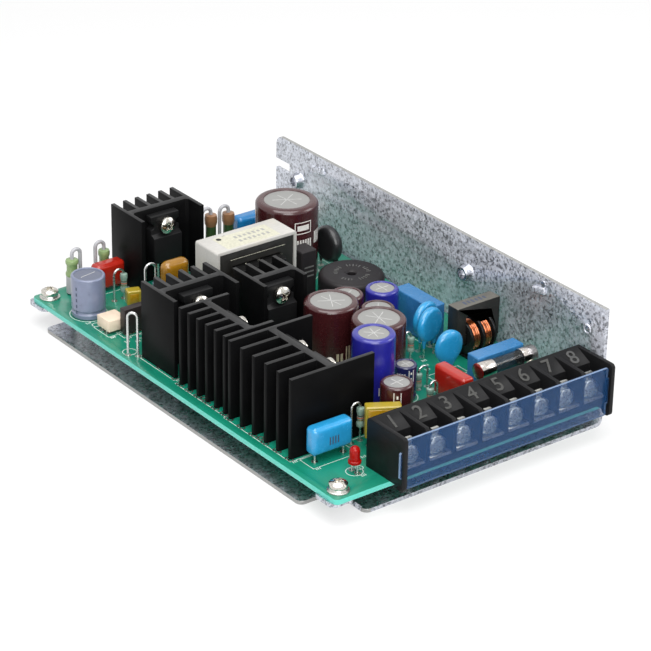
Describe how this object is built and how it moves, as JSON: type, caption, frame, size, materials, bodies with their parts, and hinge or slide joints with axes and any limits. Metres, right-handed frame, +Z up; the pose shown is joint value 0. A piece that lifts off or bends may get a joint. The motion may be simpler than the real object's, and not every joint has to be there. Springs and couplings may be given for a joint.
{
  "type": "open frame power supply",
  "caption": "Open frame switching power supply: a through-hole board on an L-shaped steel chassis with finned heatsinks and a covered screw terminal block.",
  "frame": {"origin": "centre of the chassis base, on its underside", "axes": "+X to the chassis side wall, -Y to the terminal block, +Z up"},
  "size_m": [0.1006, 0.1683, 0.038],
  "materials": {
    "galvanised_sheet": "hot-dip galvanised sheet with a fine mottled spangle",
    "board_green": "glass-epoxy laminate with green solder mask",
    "bright_screw": "nickel-plated steel",
    "housing_black": "moulded black plastic, slightly textured",
    "clear_blue": "clear moulded plastic with a blue tint",
    "clamp_plate": "plated steel clamp",
    "anodised_black": "extruded aluminium, black anodised",
    "package_black": "moulded epoxy, matt",
    "ferrite": "sintered ferrite, dark grey",
    "bobbin_black": "moulded black plastic",
    "dark_winding": "varnished tape over the winding",
    "cover_ivory": "ivory insulating card",
    "sleeve_brown": "shrink sleeve, maroon brown",
    "sleeve_blue": "shrink sleeve, royal blue",
    "sleeve_dark_blue": "shrink sleeve, dark blue",
    "sleeve_grey": "shrink sleeve, blue grey",
    "choke_case": "moulded dark case",
    "copper_wire": "enamelled copper wire",
    "box_blue": "moulded blue box",
    "fuse_glass": "clear glass tube",
    "bright_metal": "tin-plated metal",
    "disc_blue": "sky blue epoxy coating",
    "disc_dark": "dark grey coating",
    "film_sky": "sky blue dipped epoxy",
    "film_red": "red dipped epoxy",
    "film_yellow": "yellow film winding",
    "film_amber": "amber dipped epoxy",
    "chip_cream": "cream moulded plastic",
    "lamp_red": "tinted clear resin",
    "resistor_green": "green lacquer",
    "resistor_grey": "grey green lacquer"
  },
  "bodies": {
    "root": {"chassis": "galvanised_sheet", "circuit_board": "board_green", "board_screws": "bright_screw", "board_washers": "bright_screw", "terminal_housing": "housing_black", "terminal_cover": "clear_blue", "terminal_screws": "bright_screw", "terminal_clamps": "clamp_plate", "rear_heatsink": "anodised_black", "left_heatsink": "anodised_black", "middle_heatsink": "anodised_black", "small_comb_heatsink": "anodised_black", "large_comb_heatsink": "anodised_black", "rear_transistor": "package_black", "left_transistor": "package_black", "middle_transistor": "package_black", "small_rectifier": "package_black", "large_rectifier": "package_black", "heatsink_screws": "bright_screw", "transformer_core": "ferrite", "transformer_bobbin": "bobbin_black", "transformer_winding": "dark_winding", "transformer_cover": "cover_ivory", "bulk_capacitor": "sleeve_brown", "output_capacitor_rear": "sleeve_brown", "output_capacitor_front": "sleeve_brown", "blue_capacitor_front": "sleeve_blue", "blue_capacitor_rear": "sleeve_blue", "brown_capacitor_rear": "sleeve_brown", "brown_capacitor_middle": "sleeve_brown", "small_capacitor_front": "sleeve_brown", "mini_capacitor": "sleeve_dark_blue", "grey_capacitor": "sleeve_grey", "ring_choke": "choke_case", "dark_box_capacitor": "choke_case", "filter_core": "ferrite", "filter_bobbin": "bobbin_black", "filter_winding": "copper_wire", "rear_line_capacitor": "box_blue", "front_line_capacitor": "box_blue", "fuse_glass": "fuse_glass", "fuse_holder": "bright_metal", "disc_capacitors": "disc_blue", "varistor": "disc_blue", "thermistor": "disc_dark", "sky_film_capacitor": "film_sky", "rear_red_capacitor": "film_red", "front_red_capacitor": "film_red", "rear_blue_capacitor": "box_blue", "yellow_capacitors": "film_yellow", "amber_capacitor": "film_amber", "optocoupler": "chip_cream", "control_chip": "package_black", "indicator_led": "lamp_red", "power_resistors": "resistor_green", "sleeved_resistors": "resistor_green", "small_resistors": "resistor_grey", "wire_links": "bright_metal"}
  },
  "joints": []
}
